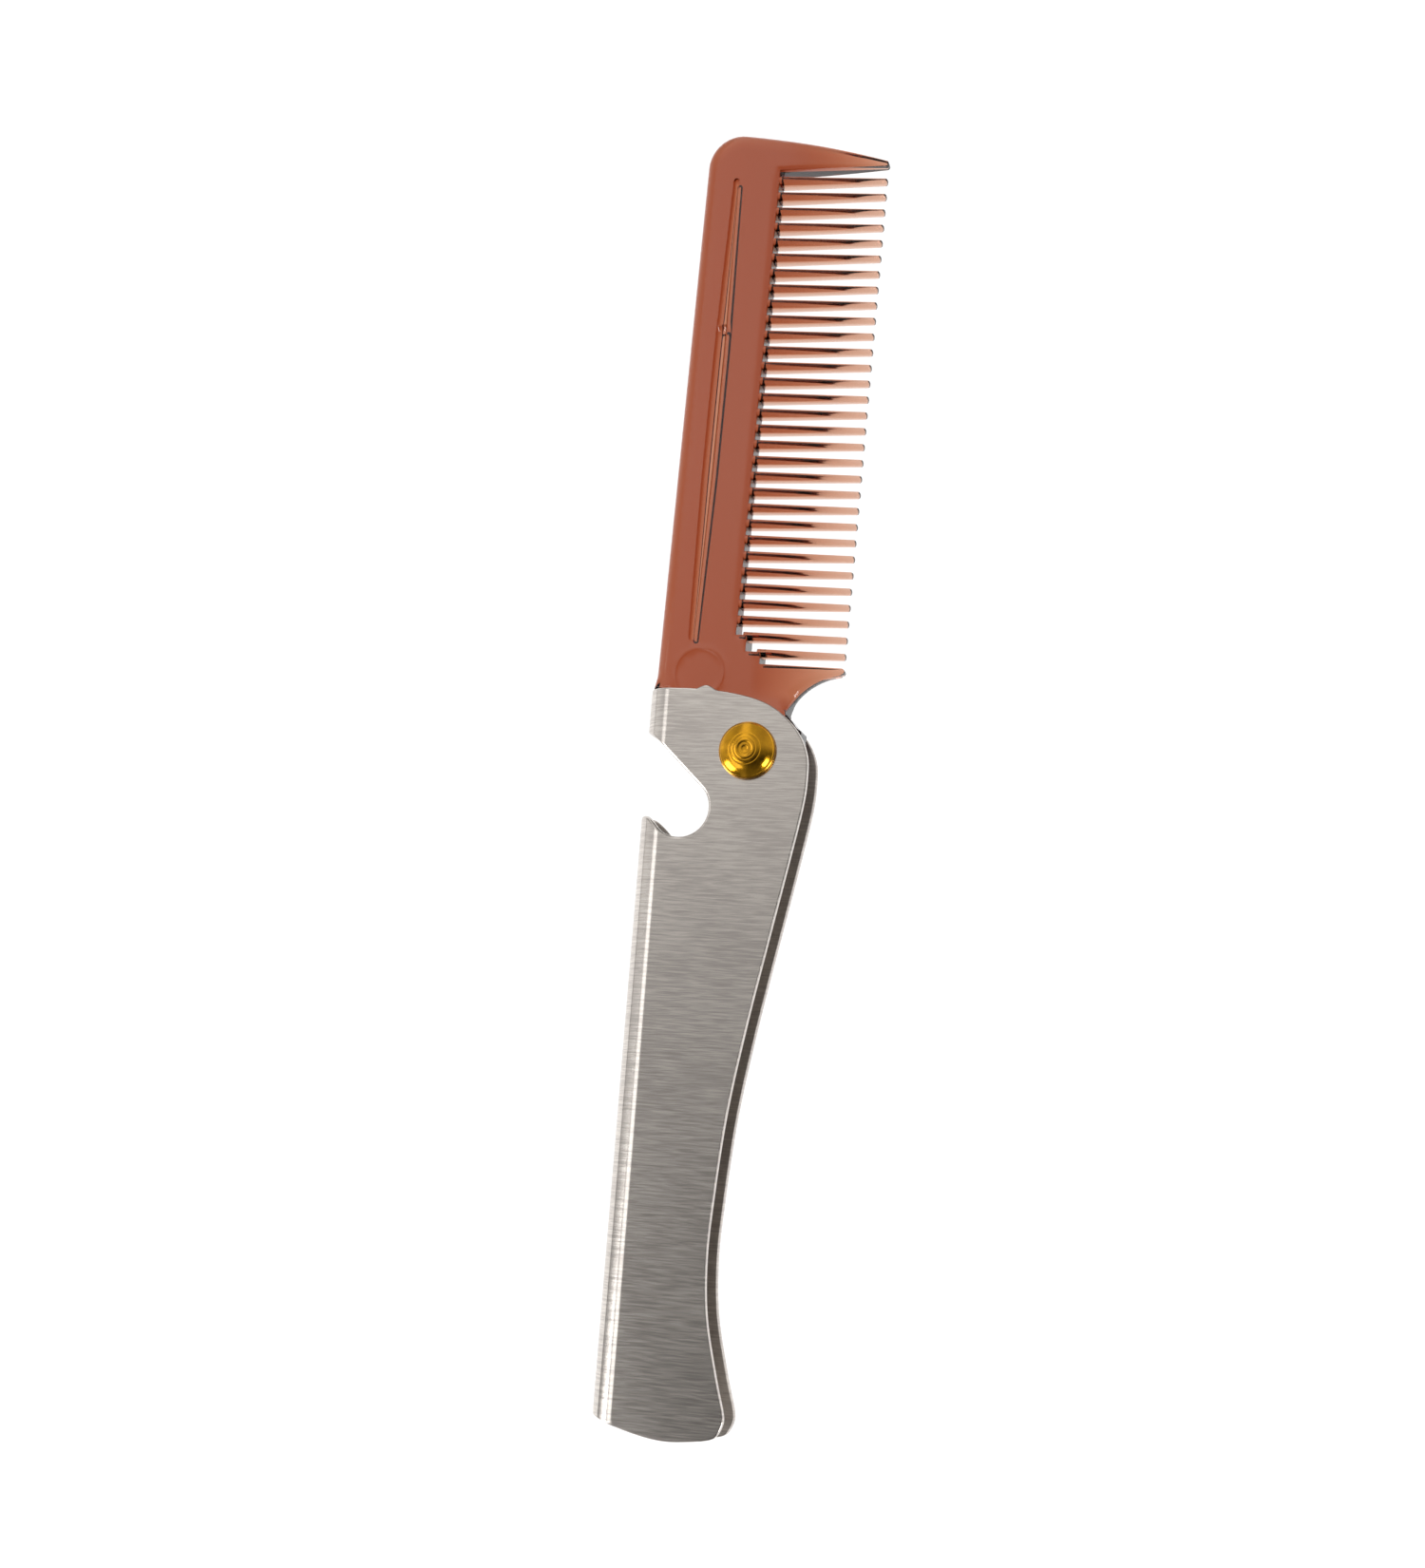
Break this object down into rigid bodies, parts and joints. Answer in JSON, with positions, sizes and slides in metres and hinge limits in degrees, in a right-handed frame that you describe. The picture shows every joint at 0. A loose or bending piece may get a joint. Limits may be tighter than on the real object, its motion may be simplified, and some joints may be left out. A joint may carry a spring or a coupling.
{
  "type": "folding beard comb",
  "caption": "Folding beard comb: an amber plastic comb on a brass rivet swings out of a U-shaped steel handle with a bottle-opener notch.",
  "frame": {"origin": "centre of the bounding box's underside, with the comb open", "axes": "+Y along the handle's spine towards the comb's end, +X from the spine to the teeth, +Z out of the front plate, on the rivet's domed side"},
  "size_m": [0.0286, 0.1837, 0.0103],
  "materials": {
    "steel": "fine cross-brushed stainless sheet with polished cut edges",
    "amber_plastic": "glossy translucent amber-brown moulded plastic",
    "brass": "polished brass with fine turned rings",
    "washer_nylon": "plain natural nylon"
  },
  "bodies": {
    "handle": {"handle_channel": "steel", "rivet_front": "brass", "rivet_rear_cap": "brass", "washer_front": "washer_nylon", "washer_rear": "washer_nylon"},
    "comb": {"comb_head": "amber_plastic"}
  },
  "joints": [
    {"name": "comb_fold", "type": "hinge", "parent": "handle", "child": "comb", "pos_m": [0.00089, 0.00043, 0.00475], "axis": [0, 0, -1], "range_deg": [0, 179]}
  ]
}
